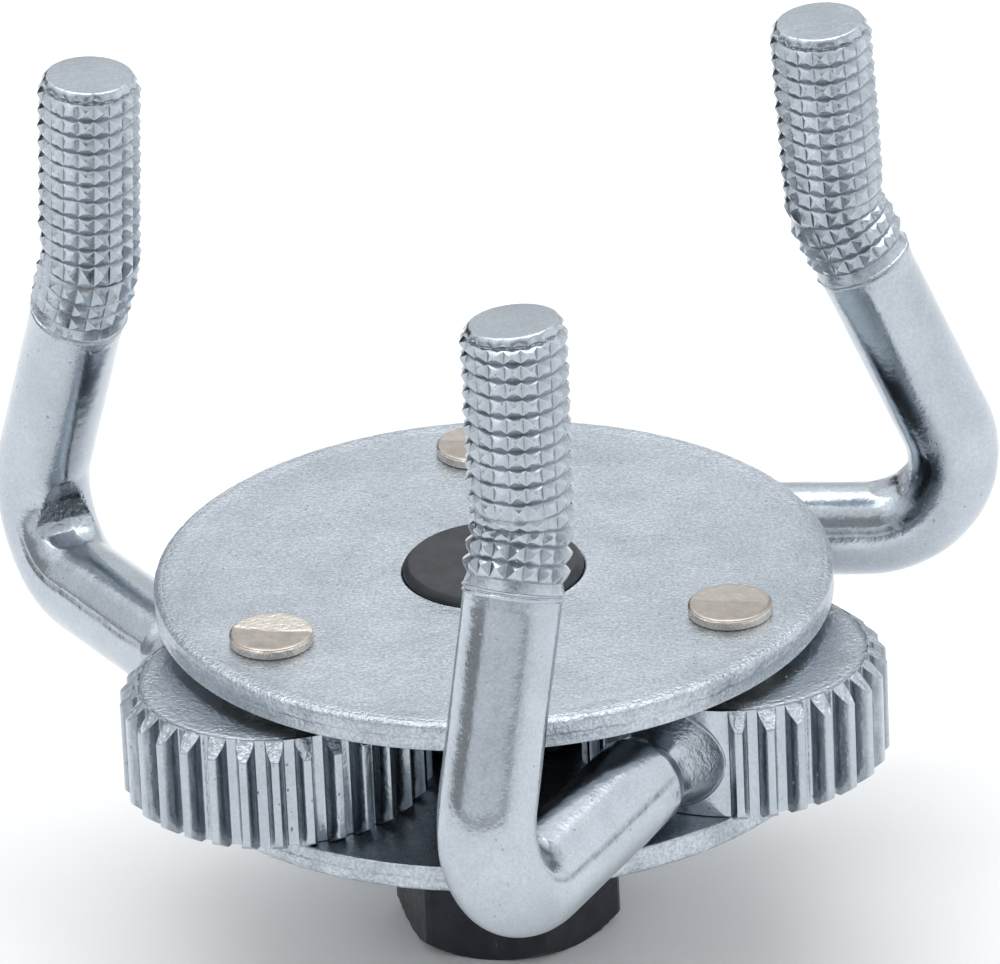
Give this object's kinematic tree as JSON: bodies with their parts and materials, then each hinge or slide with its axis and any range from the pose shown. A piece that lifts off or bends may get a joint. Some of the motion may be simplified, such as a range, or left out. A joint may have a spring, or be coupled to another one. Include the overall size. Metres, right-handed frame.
{
  "type": "oil filter wrench",
  "caption": "Geared claw wrench for spin-on oil filters: knurled claws swing together from a central hex and square drive between round plates.",
  "frame": {"origin": "centre of the drive spindle's end face, at the mouth of the square socket", "axes": "+Z along the drive axis, from the socket's mouth towards the claws; one pivot lies on +Y"},
  "size_m": [0.1054, 0.1029, 0.0896],
  "materials": {
    "zinc_plate": "zinc-plated stamped steel, satin, fine orange-peel grain",
    "zinc_forging": "zinc-plated forged steel, smooth satin to semi-bright",
    "rivet_nickel": "warm nickel-toned turned steel",
    "black_oxide_steel": "black oxide, satin, worn on corners"
  },
  "bodies": {
    "frame": {"top_plate": "zinc_plate", "bottom_plate": "zinc_plate", "pivot_rivet_1": "rivet_nickel", "pivot_rivet_2": "rivet_nickel", "pivot_rivet_3": "rivet_nickel"},
    "drive": {"drive_spindle": "black_oxide_steel"},
    "claw_1": {"claw_arm_1": "zinc_forging"},
    "claw_2": {"claw_arm_2": "zinc_forging"},
    "claw_3": {"claw_arm_3": "zinc_forging"}
  },
  "joints": [
    {"name": "drive_spin", "type": "hinge", "parent": "frame", "child": "drive", "pos_m": [0, 0, 0.0303], "axis": [0, 0, 1], "range_deg": [-263.5, 31.25]},
    {"name": "claw_1_swing", "type": "hinge", "parent": "frame", "child": "claw_1", "pos_m": [0, 0.027, 0.0303], "axis": [0, 0, 1], "range_deg": [-25, 210.8]},
    {"name": "claw_2_swing", "type": "hinge", "parent": "frame", "child": "claw_2", "pos_m": [-0.02338, -0.0135, 0.0303], "axis": [0, 0, 1], "range_deg": [-25, 210.8]},
    {"name": "claw_3_swing", "type": "hinge", "parent": "frame", "child": "claw_3", "pos_m": [0.02338, -0.0135, 0.0303], "axis": [0, 0, 1], "range_deg": [-25, 210.8]}
  ],
  "couplings": [
    {"joint": "claw_1_swing", "follows": "drive_spin", "ratio": -0.8},
    {"joint": "claw_2_swing", "follows": "drive_spin", "ratio": -0.8},
    {"joint": "claw_3_swing", "follows": "drive_spin", "ratio": -0.8}
  ]
}
